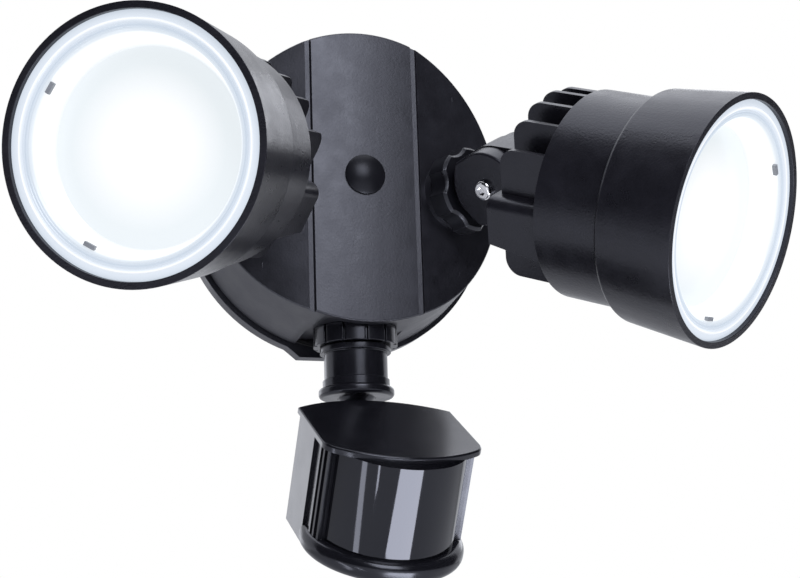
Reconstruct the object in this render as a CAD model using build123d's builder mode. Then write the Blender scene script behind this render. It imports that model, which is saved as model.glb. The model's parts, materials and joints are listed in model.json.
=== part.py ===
from build123d import *
import os
from math import asin, cos, degrees, radians, sin, sqrt, tan

# Twin-head motion sensor security light, millimetres.
# The wall is the plane Y = 0, the light stands off it towards -Y, +X is to the right and +Z is up.
# The origin is the middle of the canopy's back face.  The light is posed as it hangs on the wall:
# both heads splayed outwards and down, the sensor head tipped forward under its neck.

os.makedirs("parts", exist_ok=True)

# ---------------------------------------------------------------- driving dimensions: canopy
PLATE_R = 70.0                 # back plate, the widest circle on the wall
GASKET_T = 1.5                 # foam between the wall and the back plate
PLATE_FRONT = 8.7              # front face of the back plate, from the wall
PLATE_SKIN = 2.4
PLATE_RIM = 8.0                # width of the back plate's rim against the wall
FOOT_HALF = 18.5               # squared-off foot under the back plate
FOOT_DROP = 0.3                # how far the foot reaches below the plate's circle
FOOT_RUN = 11.0                # its sides slant outwards by this much
FOOT_RISE = 9.1                # over this height
SEAM_GAP = 1.5                 # dark seam between the back plate and the cover
COVER_STEP = 2.0               # the cover's rear edge inside the plate's edge
COVER_DRAFT = 4.9              # degrees
COVER_WALL = 2.6
BAND_FACE = 53.9               # edge of the flat central band, from the wall
BAND_CROWN = 1.3               # how far the middle of the band stands above its edges
BAND_HALF = 23.8               # half the band's width, to the middle of each groove
FLANK_SLOPE = 20.0             # degrees that the two flanks fall back from the band
GROOVE_W = 3.0
GROOVE_FLOOR_W = 2.0
GROOVE_DEPTH = 1.5
RIM_ROUND = 1.0
SPIGOT_W = 2.2                 # ring on the back plate that centres the cover
SPIGOT_H = 3.0
SPIGOT_GAP = 0.5
POST_INSET = 12.0              # screw posts inside the cover's rear edge
POST_COUNT = 4
POST_R = 4.0
POST_DEPTH = 12.0              # screw thread in each post
COVER_SCREW_R = 1.7
SCREW_HEAD_R = 3.4
SCREW_HEAD_H = 2.0
SMALL_SCREW_R = 1.5
SMALL_HEAD_R = 2.8

# ---------------------------------------------------------------- driving dimensions: wall fixing
STRAP_END = 5.0                # steel left beyond each slot
STRAP_WIDTH = 16.0
STRAP_T = 2.0
STRAP_HUB_R = 6.0
SLOT_SPACING = 86.0            # takes box screws 3 1/4 to 3 1/2 inches apart
SLOT_LENGTH = 14.0
SLOT_W = 4.6
BOLT_R = 3.0
BOLT_HEAD_R = 5.2
BOLT_HEAD_H = 3.5
BOLT_TUBE_R = 8.0
BOLT_GAP = 0.3
PLUG_R = 8.75
PLUG_HEIGHT = 3.4
PLUG_LIP = 0.8
PLUG_HOLE_R = 6.5
PLUG_HOLE_DEPTH = 8.0
PLUG_STEM = 4.0
WIRE_HOLE_R = 8.0
WIRE_HOLE_Z = -24.0

# ---------------------------------------------------------------- driving dimensions: driver
DRIVER_W = 56.0
DRIVER_H = 26.0
DRIVER_T = 25.0
DRIVER_GAP = 7.0               # above the tube of the mounting bolt
DRIVER_ROUND = 2.0
EAR_W = 6.0
EAR_T = 2.0
EAR_H = 10.0
BLOCK_W = 30.0
BLOCK_H = 9.0
BLOCK_T = 12.0
BLOCK_Z = -40.0
BLOCK_WAYS = 3
GROUND_X = -30.0
GROUND_Z = -20.0

# ---------------------------------------------------------------- driving dimensions: arms
ARM_OFFSET = 18.2              # where each arm leaves its flank, beyond the groove
ARM_Z = -4.4
ARM_SPLAY = 26.0               # degrees outwards from straight ahead
BOSS_INSET = 2.9               # boss inside the locknut's lobes
BOSS_RISE = 2.0
BOSS_DEPTH = 6.0
STEM_R = 10.4                  # half-inch pipe thread
STEM_BORE = 5.5
STEM_TAIL = 10.0               # thread inside the cover
SEAL_INSET = 0.6               # seal inside the boss
SEAL_T = 1.2
LOCKNUT_R = 18.4               # to the crests of its lobes
LOCKNUT_T = 9.5
LOCKNUT_LOBES = 6
LOCKNUT_EDGE = 1.2
SCALLOP_R = 9.0
SCALLOP_DEPTH = 2.2
SHOULDER_R = 12.4
PIVOT_HEIGHT = 32.0            # tilt axis above the flank, along the arm
KNUCKLE_R = 16.1               # the fork's cheeks
KNUCKLE_HALF = 15.4            # half the knuckle's width
KNUCKLE_ROUND = 1.2
LUG_PROUD = 0.5                # the head's lug, beyond the cheeks between which it turns
LUG_HALF = 7.2
SIDE_GAP = 0.3                 # between the lug and each cheek
CROTCH_GAP = 0.5
CROTCH_LIP = 13.0              # the slot is open at the sides to this far below the tilt axis
PIVOT_R = 3.0
PIVOT_HEAD_R = 4.3
PIVOT_HEAD_H = 2.6
PIVOT_NUT_R = 5.4
PIVOT_NUT_T = 4.0
PIVOT_TAIL = 5.0
SOCKET_R = 2.0                 # drive recess in the screw heads
RUN = 0.05                     # radial clearance of every turning fit

# ---------------------------------------------------------------- driving dimensions: lamp heads
BARREL_R = 43.1                # finned body behind the front ring
BARREL_LENGTH = 30.1           # what shows of it
SHROUD_STEP = 4.3              # the front ring's rear shoulder, beyond the barrel
SHROUD_LENGTH = 35.6
SHROUD_ROUND = 2.2
RIM_FLARE = 3.1                # how much the front ring widens to its rim
RIM_WALL = 2.7
BARREL_OVERLAP = 6.0           # barrel inside the front ring
BARREL_FLOOR = 6.0
BARREL_WALL = 3.2
FIN_CLEAR = 5.2                # between the fork's cheeks and the fins
FIN_LENGTH = 22.3
FIN_T = 2.2
FIN_PITCH = 10.4
FIN_COUNT = 7
FIN_ROUND = 7.0
FIN_INSET = 0.9                # fins inside the barrel's outline
BAR_TOP = 8.0                  # thick cross bar among the fins
BAR_BOTTOM = -15.0
BAR_INSET = 0.1                # its ends inside the barrel's outline
BAR_PROUD = 2.2                # behind the fins
BAR_ROUND = 5.0
BAR_DRAFT = 3.4                # how much the bar thins towards its rear
LUG_SPREAD = 17.0              # half the lug's height where it meets the fins
LENS_RECESS = 1.6
LENS_GAP = 0.1
LENS_FLANGE_T = 2.0
LENS_FLANGE_W = 3.4            # flat rim of the lens
LENS_SLOPE_W = 6.2             # sloping ring between the rim and the dished middle
LENS_STEP = 1.6
LENS_CROWN = 2.0
GASKET_H = 1.2
GASKET_W = 2.6
REFLECTOR_T = 1.2
REFLECTOR_LIP = 0.8            # thickness of its front ring
REFLECTOR_FLANGE = 6.8         # height of its front ring above the barrel
BOARD_MARGIN = 4.0             # board beyond the circle of its screws
BOARD_T = 1.6
CHIP_ROWS = 5
CHIP_MARGIN = 1.7              # between the corner chips and the reflector
CHIP_PITCH = 7.0
CHIP_W = 3.5
CHIP_T = 0.8
CLIP_INSET = 1.0               # clips outside the edge of the dished middle
CLIP_W = 4.5
CLIP_H = 1.6
CLIP_T = 1.6
CLIP_SINK = 1.0                # how far each clip is let into the lens
CLIP_ANGLES = {"right": (12, 246), "left": (175, 271)}      # degrees round each lens
BOARD_SCREW_GAP = 2.0          # screw heads to the reflector's foot
BOARD_SCREW_COUNT = 3
BOARD_SCREW_DEPTH = 4.0

# ---------------------------------------------------------------- driving dimensions: sensor neck
SENSOR_NUT_R = 18.0
SENSOR_NUT_T = 8.0
SENSOR_NUT_SLITS = 12
SLIT_W = 1.2
SLIT_DEPTH = 1.2
PAD_CUT = 5.5                  # flat pad for the neck, above the cover's lowest point
PAD_MARGIN = 3.0               # pad beyond the nut at the sides
PAD_GAP = 1.0                  # and in front of it
PAD_T = 4.0
FRONT_LIP = 2.1                # wall of the cover in front of the pad
NECK_TAIL = 12.5               # thread inside the cover
NECK_SHOULDER_R = 15.2
NECK_SHOULDER_T = 2.7
SLEEVE_LENGTH = 11.5
SLEEVE_R = 13.55
NECK_BORE = 6.0
COLLAR_BAND_R = 14.3
COLLAR_BAND_T = 3.3
COLLAR_R = 16.1
COLLAR_T = 4.3
COLLAR_ROUND = 1.6
BALL_DROP = 1.0                # ball centre below the seam of the sleeve and the clamp collar
BALL_R = 10.4
STUD_R = 4.5
STUD_LENGTH = 30.0
STUD_REST = 23.5               # degrees of tilt at which the stud hangs straight down
SPINE_R = 11.0                 # moulded spine on the case that holds the stud
SPINE_START = 15.0
SPINE_END = 44.0
SPINE_ROUND = 3.0

# ---------------------------------------------------------------- driving dimensions: sensor head
ROOF_GAP = 1.9                 # between the clamp collar and the back of the roof
ROOF_BELOW = 0.75
ROOF_EAVE = 1.3                # roof beyond the case at the sides
ROOF_TAIL = 1.5                # and at the back
ROOF_SIDE = 40.7               # straight side of the roof
ROOF_FRONT = 53.0
ROOF_T = 2.6
ROOF_ROUND = 9.0
ROOF_EDGE = 0.9
CASE_SIDE = 22.6               # depth of the flat side faces
CASE_BACK = 9.0
CASE_HEIGHT = 49.3
CASE_WALL = 2.2
DRUM_R = 29.0                  # curved lens
DRUM_AHEAD = 7.2               # its axis ahead of the flat side faces
DRUM_WALL = 1.2
DRUM_TOP_R = 21.0              # hole in the lens under the roof
DRUM_HIDDEN = 14.5             # degrees of the lens covered by the ribbed frame on each side
FRAME_END = 19.5               # where the ribbed frame ends, degrees ahead of the sides
FRAME_T = 1.4
CASE_STEP = 1.35               # side faces beyond the ribbed frames
RIB_COUNT = 3
RIB_H = 1.2
RIB_W = 1.3
LIP_PROUD = 4.6                # rounded lip of the base, beyond the lens
LIP_DROP = 0.5                 # and below the case
LIP_ROUND = 4.0
LIP_FLAT = 1.0
FLOOR_T = 2.3
PIR_BOARD_Y = -12.0
PIR_BOARD_T = 1.6
PIR_BOARD_TOP = -6.0
PIR_BOARD_LIFT = 7.3           # lower edge of the board above the bottom of the case
PIR_Z = -22.0
PIR_R = 4.6
PIR_FLANGE_R = 5.3
PIR_H = 4.2
KNOB_X = 11.0
KNOB_Y = -9.0
KNOB_R = 4.2
KNOB_FLANGE_R = 5.2
KNOB_FLANGE_T = 1.6
KNOB_PROUD = 1.5
KNOB_GAP = 0.1
KNOB_SLOT = 1.2
FLOOR_POST_R = 4.6
FLOOR_POST_INSET = 4.0         # post axis inside the case wall
FLOOR_POST_GAP = 0.6           # behind each post, to the circuit board
FLOOR_POST_H = 12.0

# ---------------------------------------------------------------- the pose on the wall, degrees
SWIVEL = {"right": 29.7, "left": -32.7}     # each arm about its own axis
HEAD_TILT = {"right": -23.9, "left": -15.75}
SENSOR_PAN = 2.6
SENSOR_TILT = 30.9

# ---------------------------------------------------------------- worked out from the above
WALL = Plane.XZ                # its normal points away from the wall
Z_UP = Vector(0, 0, 1)
PAN_R = PLATE_R - PLATE_RIM
FOOT_Z = -PLATE_R - FOOT_DROP
COVER_R = PLATE_R - COVER_STEP
COVER_BACK = PLATE_FRONT + SEAM_GAP
INNER_R = COVER_R - COVER_WALL
POST_CIRCLE = COVER_R - POST_INSET
STRAP_LENGTH = SLOT_SPACING + SLOT_LENGTH + 2 * STRAP_END
DRIVER_BOTTOM = BOLT_TUBE_R + DRIVER_GAP
EAR_X = (DRIVER_W + EAR_W) / 2
EAR_Z = DRIVER_BOTTOM + EAR_H / 2
DRIVER_SPOTS = [(-EAR_X, EAR_Z), (EAR_X, EAR_Z)]
ARM_X = BAND_HALF + ARM_OFFSET
BOSS_R = LOCKNUT_R - BOSS_INSET
LUG_R = KNUCKLE_R + LUG_PROUD
CHEEK_INSIDE = LUG_HALF + SIDE_GAP
FIN_R = BARREL_R - FIN_INSET
FIN_REAR = KNUCKLE_R + FIN_CLEAR
BARREL_REAR = FIN_REAR + FIN_LENGTH
BAR_REAR = FIN_REAR - BAR_PROUD
BAR_HALF = sqrt(BARREL_R ** 2 - BAR_BOTTOM ** 2) - BAR_INSET
SHROUD_R = BARREL_R + SHROUD_STEP
SHROUD_REAR = BARREL_REAR + BARREL_LENGTH
LENS_REACH = SHROUD_REAR + SHROUD_LENGTH
RIM_R = SHROUD_R + RIM_FLARE
BARREL_FRONT = SHROUD_REAR + BARREL_OVERLAP
BOARD_FACE = BARREL_REAR + BARREL_FLOOR
LENS_FRONT = LENS_REACH - LENS_RECESS
LENS_SEAT = LENS_FRONT - LENS_FLANGE_T - GASKET_H
BEZEL_R = RIM_R - RIM_WALL
LENS_R = BEZEL_R - LENS_GAP
SEAT_R = LENS_R - GASKET_W
LENS_FLANGE_IN = LENS_R - LENS_FLANGE_W
LENS_DISH_R = LENS_FLANGE_IN - LENS_SLOPE_W
CLIP_CIRCLE = LENS_DISH_R + CLIP_INSET
CHIP_REACH = (CHIP_PITCH * (CHIP_ROWS - 1) + CHIP_W) / 2
REFLECTOR_REAR_R = CHIP_REACH * sqrt(2) + CHIP_MARGIN
BOARD_SCREW_CIRCLE = REFLECTOR_REAR_R + REFLECTOR_T + BOARD_SCREW_GAP + SMALL_HEAD_R
PAD_HALF = SENSOR_NUT_R + PAD_MARGIN
PAD_FRONT = BAND_FACE - FRONT_LIP
PAD_Z = -COVER_R + PAD_CUT
NECK_Y = -PAD_FRONT + PAD_GAP + SENSOR_NUT_R
NECK_TOP = PAD_Z + NECK_TAIL
SENSOR_NUT_BOTTOM = PAD_Z - SENSOR_NUT_T
NECK_SHOULDER_TOP = SENSOR_NUT_BOTTOM - SIDE_GAP
NECK_SHOULDER_BOTTOM = NECK_SHOULDER_TOP - NECK_SHOULDER_T
SEAM_Z = NECK_SHOULDER_BOTTOM - SLEEVE_LENGTH
COLLAR_BAND_BOTTOM = SEAM_Z - COLLAR_BAND_T
COLLAR_BOTTOM = COLLAR_BAND_BOTTOM - COLLAR_T
BALL_Z = SEAM_Z - BALL_DROP
NECK_AXIS = Axis((0, NECK_Y, 0), (0, 0, 1))
FRAME_OUT = DRUM_R + RUN + FRAME_T
CASE_HALF = FRAME_OUT + CASE_STEP
CASE_IN = CASE_HALF - CASE_WALL
ROOF_HALF = CASE_HALF + ROOF_EAVE
ROOF_BACK = CASE_BACK + ROOF_TAIL
ROOF_AHEAD = COLLAR_R + ROOF_GAP + ROOF_BACK
DRUM_Y = -CASE_SIDE - DRUM_AHEAD
LIP_R = DRUM_R + LIP_PROUD
LIP_BOTTOM = -CASE_HEIGHT - LIP_DROP
DRUM_BOTTOM = LIP_BOTTOM + 2 * LIP_ROUND + LIP_FLAT
PIR_BOARD_BOTTOM = -CASE_HEIGHT + PIR_BOARD_LIFT
FLOOR_POST_X = CASE_IN - FLOOR_POST_INSET
FLOOR_POST_Y = PIR_BOARD_Y - FLOOR_POST_R - FLOOR_POST_GAP


def keep(name, piece):
    """Label one finished piece and write it."""
    piece.label = name
    export_step(piece, f"parts/{name}.step")


def dome(half, rise):
    """Radius of a dome, and the angle from its axis to its edge in degrees."""
    radius = (half ** 2 + rise ** 2) / (2 * rise)
    return radius, degrees(asin(half / radius))


def turned(vector, axis, angle):
    """A direction turned about another, by an angle in degrees."""
    return vector.rotate(Axis((0, 0, 0), axis), angle)


def flank_height(x):
    """Height of the cover's front face above the wall at a distance x from the middle."""
    return BAND_FACE - max(0.0, abs(x) - BAND_HALF) * tan(radians(FLANK_SLOPE))


def arm_frame(side):
    """Frame of one arm: origin on the flank, Z along the arm, X along the tilt axis."""
    outward = 1 if side == "right" else -1
    along = Vector(outward * sin(radians(ARM_SPLAY)), -cos(radians(ARM_SPLAY)), 0)
    across = turned(Z_UP.cross(along), along, SWIVEL[side])
    foot = Vector(outward * ARM_X, -flank_height(ARM_X), ARM_Z)
    return Plane(origin=foot, x_dir=across, z_dir=along)


def head_frame(side):
    """Frame of one head: origin on the tilt axis, Z along the beam, X along the tilt axis."""
    arm = arm_frame(side)
    beam = turned(arm.z_dir, -arm.x_dir, HEAD_TILT[side])
    return Plane(origin=arm.origin + arm.z_dir * PIVOT_HEIGHT, x_dir=arm.x_dir, z_dir=beam)


def sensor_frame():
    """Frame of the sensor head: origin between the roof's back corners, +Z up, -Y forward."""
    across = turned(Vector(1, 0, 0), Z_UP, SENSOR_PAN)
    up = turned(Z_UP, across, SENSOR_TILT)
    back = up.cross(across)
    ball = Vector(0, NECK_Y, BALL_Z)
    return Plane(origin=ball - back * ROOF_AHEAD - up * ROOF_BELOW, x_dir=across, z_dir=up)


ARMS = {side: arm_frame(side) for side in ("right", "left")}
HEADS = {side: head_frame(side) for side in ("right", "left")}
SENSOR = sensor_frame()


# ================================================================ wall fixing
with BuildPart() as wall_gasket:
    with BuildSketch(WALL):
        Circle(PLATE_R - 1)
        Circle(PAN_R, mode=Mode.SUBTRACT)
    extrude(amount=GASKET_T)
keep("wall_gasket", wall_gasket.part)

with BuildPart() as back_plate:
    with BuildSketch(WALL.offset(GASKET_T)):
        Circle(PLATE_R)
        Polygon((-FOOT_HALF, FOOT_Z), (FOOT_HALF, FOOT_Z),
                (FOOT_HALF + FOOT_RUN, FOOT_Z + FOOT_RISE),
                (-FOOT_HALF - FOOT_RUN, FOOT_Z + FOOT_RISE), align=None)
    extrude(amount=PLATE_FRONT - GASKET_T)
    with BuildSketch(WALL.offset(PLATE_FRONT)):
        Circle(INNER_R - SPIGOT_GAP)
        Circle(INNER_R - SPIGOT_GAP - SPIGOT_W, mode=Mode.SUBTRACT)
        with Locations((0, -PLATE_R)):
            Rectangle(2 * (PAD_HALF + COVER_WALL + SPIGOT_GAP), PLATE_R / 2, mode=Mode.SUBTRACT)
    extrude(amount=SPIGOT_H)
    with BuildSketch(WALL.offset(GASKET_T)):
        Circle(PAN_R)
    extrude(amount=PLATE_FRONT - PLATE_SKIN - GASKET_T, mode=Mode.SUBTRACT)
    with BuildSketch(WALL):
        Circle(BOLT_R + BOLT_GAP)
        with Locations((0, WIRE_HOLE_Z)):
            Circle(WIRE_HOLE_R)
        with PolarLocations(POST_CIRCLE, POST_COUNT, start_angle=45):
            Circle(COVER_SCREW_R)
        with Locations((GROUND_X, GROUND_Z), *DRIVER_SPOTS):
            Circle(SMALL_SCREW_R)
    extrude(amount=PLATE_FRONT, mode=Mode.SUBTRACT)
keep("back_plate", back_plate.part)

with BuildPart() as crossbar:
    with BuildSketch(WALL):
        Rectangle(STRAP_LENGTH, STRAP_WIDTH)
        with Locations((-SLOT_SPACING / 2, 0), (SLOT_SPACING / 2, 0)):
            SlotOverall(SLOT_LENGTH, SLOT_W, mode=Mode.SUBTRACT)
    extrude(amount=STRAP_T)
    fillet(crossbar.edges().filter_by(Axis.Y).group_by(Axis.X)[0], STRAP_WIDTH / 4)
    fillet(crossbar.edges().filter_by(Axis.Y).group_by(Axis.X)[-1], STRAP_WIDTH / 4)
    with BuildSketch(WALL):
        Circle(STRAP_HUB_R)
    extrude(amount=PLATE_FRONT - PLATE_SKIN)
    with BuildSketch(WALL):
        Circle(BOLT_R)
    extrude(amount=PLATE_FRONT, mode=Mode.SUBTRACT)
keep("crossbar", crossbar.part)

BOLT_SEAT = BAND_FACE - PLUG_HOLE_DEPTH

with BuildPart() as mounting_bolt:
    with BuildSketch(WALL):
        Circle(BOLT_R)
    extrude(amount=BOLT_SEAT)
    with BuildSketch(WALL.offset(BOLT_SEAT)):
        Circle(BOLT_HEAD_R)
    extrude(amount=BOLT_HEAD_H)
    chamfer(mounting_bolt.edges().group_by(Axis.Y)[0], PLUG_LIP)
    with BuildSketch(WALL.offset(BOLT_SEAT + BOLT_HEAD_H)):
        RegularPolygon(SOCKET_R, 6)
    extrude(amount=-BOLT_HEAD_H / 2, mode=Mode.SUBTRACT)
keep("mounting_bolt", mounting_bolt.part)

BAND_TOP = BAND_FACE + BAND_CROWN
PLUG_DOME_R, PLUG_DOME_ANGLE = dome(PLUG_R, PLUG_HEIGHT - PLUG_LIP)

with BuildPart() as centre_plug:
    with BuildSketch(Plane.XY):
        with BuildLine():
            Polyline((0, -BAND_TOP - PLUG_HEIGHT), (0, -BAND_TOP + PLUG_STEM),
                     (PLUG_HOLE_R, -BAND_TOP + PLUG_STEM), (PLUG_HOLE_R, -BAND_TOP),
                     (PLUG_R, -BAND_TOP), (PLUG_R, -BAND_TOP - PLUG_LIP))
            CenterArc((0, PLUG_DOME_R - BAND_TOP - PLUG_HEIGHT), PLUG_DOME_R, 270,
                      PLUG_DOME_ANGLE)
        make_face()
    revolve(axis=Axis.Y)
keep("centre_plug", centre_plug.part)


# ================================================================ canopy cover
def canopy_form(rear_radius, back, face):
    """A drafted drum whose front is the crowned band and the two flanks that fall back from it."""
    depth = face + BAND_CROWN - back
    front_radius = rear_radius - depth * tan(radians(COVER_DRAFT))
    flank_edge = face - (PLATE_R - BAND_HALF) * tan(radians(FLANK_SLOPE))
    with BuildPart() as form:
        with BuildSketch(Plane.XY):
            with BuildLine():
                Polyline((0, -back), (rear_radius, -back), (front_radius, -back - depth),
                         (0, -back - depth), close=True)
            make_face()
        revolve(axis=Axis.Y)
        with BuildSketch(Plane.XY.offset(-PLATE_R)):
            with BuildLine():
                ThreePointArc((-BAND_HALF, -face), (0, -face - BAND_CROWN), (BAND_HALF, -face))
                Polyline((BAND_HALF, -face), (PLATE_R, -flank_edge), (PLATE_R, 0),
                         (-PLATE_R, 0), (-PLATE_R, -flank_edge), (-BAND_HALF, -face))
            make_face()
        extrude(amount=2 * PLATE_R, mode=Mode.INTERSECT)
    return form.part


with BuildPart() as neck_pad:
    add(canopy_form(COVER_R, COVER_BACK, BAND_FACE))
    pad_end = BAND_FACE - COVER_WALL / 2
    with Locations((0, -(COVER_BACK + pad_end) / 2, -PLATE_R / 2 + PAD_Z + PAD_T)):
        Box(2 * (PAD_HALF + COVER_WALL), pad_end - COVER_BACK, PLATE_R, mode=Mode.INTERSECT)

with BuildPart() as canopy_cover:
    add(canopy_form(COVER_R, COVER_BACK, BAND_FACE))
    side_edges = canopy_cover.faces().filter_by(GeomType.CONE).edges()
    rim = side_edges.filter_by(lambda edge: edge.bounding_box().max.Y < -COVER_BACK - 1)
    fillet(rim, RIM_ROUND)
    add(canopy_form(INNER_R, COVER_BACK - 1, BAND_FACE - COVER_WALL), mode=Mode.SUBTRACT)
    add(neck_pad.part)
    with Locations((0, -PAD_FRONT / 2, PAD_Z - PLATE_R / 2)):
        Box(2 * PAD_HALF, PAD_FRONT, PLATE_R, mode=Mode.SUBTRACT)
    with BuildSketch(Plane.XY.offset(-PLATE_R)):
        with Locations((0, NECK_Y)):
            Circle(STEM_R + RUN)
    extrude(amount=PLATE_R / 2, mode=Mode.SUBTRACT)
    # grooves beside the band, cut from the front face
    for x in (-BAND_HALF, BAND_HALF):
        with BuildSketch(Plane.XY.offset(-PLATE_R)):
            with BuildLine():
                Polyline((x - GROOVE_W / 2, -BAND_FACE - GROOVE_W),
                         (x + GROOVE_W / 2, -BAND_FACE - GROOVE_W),
                         (x + GROOVE_W / 2, -BAND_FACE),
                         (x + GROOVE_FLOOR_W / 2, -BAND_FACE + GROOVE_DEPTH),
                         (x - GROOVE_FLOOR_W / 2, -BAND_FACE + GROOVE_DEPTH),
                         (x - GROOVE_W / 2, -BAND_FACE), close=True)
            make_face()
        extrude(amount=2 * PLATE_R, mode=Mode.SUBTRACT)
    # a round boss for each arm, square to the arm
    for frame in ARMS.values():
        with BuildSketch(frame.offset(-BOSS_DEPTH)):
            Circle(BOSS_R)
        extrude(amount=BOSS_DEPTH + BOSS_RISE)
        with BuildSketch(frame.offset(-BOSS_DEPTH)):
            Circle(STEM_R + RUN)
        extrude(amount=BOSS_DEPTH + BOSS_RISE, mode=Mode.SUBTRACT)
    # screw posts and the tube of the mounting bolt
    with BuildSketch(WALL.offset(PLATE_FRONT)):
        with PolarLocations(POST_CIRCLE, POST_COUNT, start_angle=45):
            Circle(POST_R)
    extrude(amount=flank_height(POST_CIRCLE * cos(radians(45))) - COVER_WALL / 2 - PLATE_FRONT)
    with BuildSketch(WALL.offset(PLATE_FRONT)):
        with PolarLocations(POST_CIRCLE, POST_COUNT, start_angle=45):
            Circle(COVER_SCREW_R)
    extrude(amount=POST_DEPTH, mode=Mode.SUBTRACT)
    with BuildSketch(WALL.offset(PLATE_FRONT)):
        Circle(BOLT_TUBE_R)
    extrude(amount=BAND_FACE - COVER_WALL / 2 - PLATE_FRONT)
    with BuildSketch(WALL.offset(PLATE_FRONT)):
        Circle(BOLT_R + BOLT_GAP)
    extrude(amount=BAND_FACE, mode=Mode.SUBTRACT)
    with BuildSketch(WALL.offset(BOLT_SEAT)):
        Circle(PLUG_HOLE_R)
    extrude(amount=PLUG_HOLE_DEPTH * 2, mode=Mode.SUBTRACT)
keep("canopy_cover", canopy_cover.part)

with BuildPart() as cover_gasket:
    with BuildSketch(WALL.offset(PLATE_FRONT)):
        Circle(COVER_R - SPIGOT_W / 2)
        Circle(INNER_R, mode=Mode.SUBTRACT)
    extrude(amount=SEAM_GAP)
keep("cover_gasket", cover_gasket.part)

with BuildPart() as cover_screws:
    with BuildSketch(WALL.offset(PLATE_FRONT - PLATE_SKIN)):
        with PolarLocations(POST_CIRCLE, POST_COUNT, start_angle=45):
            Circle(COVER_SCREW_R)
    extrude(amount=PLATE_SKIN + POST_DEPTH)
    with BuildSketch(WALL.offset(PLATE_FRONT - PLATE_SKIN)):
        with PolarLocations(POST_CIRCLE, POST_COUNT, start_angle=45):
            Circle(SCREW_HEAD_R)
    extrude(amount=-SCREW_HEAD_H)
keep("cover_screws", cover_screws.part)


# ================================================================ electrics in the canopy
with BuildPart() as driver_case:
    with BuildSketch(WALL.offset(PLATE_FRONT)):
        with Locations((0, DRIVER_BOTTOM + DRIVER_H / 2)):
            RectangleRounded(DRIVER_W, DRIVER_H, DRIVER_ROUND)
    extrude(amount=DRIVER_T)
    fillet(driver_case.faces().sort_by(Axis.Y)[0].edges(), DRIVER_ROUND / 2)
    with BuildSketch(WALL.offset(PLATE_FRONT)):
        with Locations((0, EAR_Z)):
            Rectangle(DRIVER_W + 2 * EAR_W, EAR_H)
    extrude(amount=EAR_T)
    with BuildSketch(WALL.offset(PLATE_FRONT)):
        with Locations(*DRIVER_SPOTS):
            Circle(SMALL_SCREW_R)
    extrude(amount=EAR_T, mode=Mode.SUBTRACT)
keep("driver_case", driver_case.part)

with BuildPart() as driver_screws:
    with BuildSketch(WALL.offset(PLATE_FRONT - PLATE_SKIN)):
        with Locations(*DRIVER_SPOTS):
            Circle(SMALL_SCREW_R)
    extrude(amount=PLATE_SKIN + EAR_T)
    with BuildSketch(WALL.offset(PLATE_FRONT + EAR_T)):
        with Locations(*DRIVER_SPOTS):
            Circle(SMALL_HEAD_R)
    extrude(amount=SCREW_HEAD_H)
keep("driver_screws", driver_screws.part)

with BuildPart() as terminal_block:
    with BuildSketch(WALL.offset(PLATE_FRONT)):
        with Locations((0, BLOCK_Z)):
            Rectangle(BLOCK_W, BLOCK_H)
    extrude(amount=BLOCK_T)
    chamfer(terminal_block.faces().sort_by(Axis.Y)[0].edges(), 1)
    with BuildSketch(WALL.offset(PLATE_FRONT + BLOCK_T)):
        with Locations((0, BLOCK_Z)):
            with GridLocations(BLOCK_W / BLOCK_WAYS, 1, BLOCK_WAYS, 1):
                Circle(SOCKET_R)
    extrude(amount=-BLOCK_T / 2, mode=Mode.SUBTRACT)
keep("terminal_block", terminal_block.part)

with BuildPart() as ground_screw:
    with BuildSketch(WALL.offset(PLATE_FRONT)):
        with Locations((GROUND_X, GROUND_Z)):
            Circle(SCREW_HEAD_R)
    extrude(amount=SCREW_HEAD_H)
    fillet(ground_screw.edges().group_by(Axis.Y)[0], SCREW_HEAD_H / 3)
    with BuildSketch(WALL.offset(PLATE_FRONT - PLATE_SKIN)):
        with Locations((GROUND_X, GROUND_Z)):
            Circle(SMALL_SCREW_R)
    extrude(amount=PLATE_SKIN)
keep("ground_screw", ground_screw.part)


# ================================================================ arms, in their own frame
NUT_START = BOSS_RISE + SEAL_T
SHOULDER = NUT_START + LOCKNUT_T + SIDE_GAP
CROTCH_R = LUG_R + CROTCH_GAP
KNUCKLE_CORNER = sqrt(KNUCKLE_R ** 2 + KNUCKLE_HALF ** 2)

with BuildPart() as arm_seal:
    with BuildSketch(Plane.XY.offset(BOSS_RISE)):
        Circle(BOSS_R - SEAL_INSET)
        Circle(STEM_R + RUN, mode=Mode.SUBTRACT)
    extrude(amount=SEAL_T)

with BuildPart() as arm_locknut:
    with BuildSketch(Plane.XY.offset(NUT_START)):
        Circle(LOCKNUT_R)
        with PolarLocations(LOCKNUT_R + SCALLOP_R - SCALLOP_DEPTH, LOCKNUT_LOBES,
                            start_angle=180 / LOCKNUT_LOBES):
            Circle(SCALLOP_R, mode=Mode.SUBTRACT)
        Circle(STEM_R + RUN, mode=Mode.SUBTRACT)
    extrude(amount=LOCKNUT_T)
    chamfer(arm_locknut.faces().sort_by(Axis.Z)[-1].outer_wire().edges(), LOCKNUT_EDGE)

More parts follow.
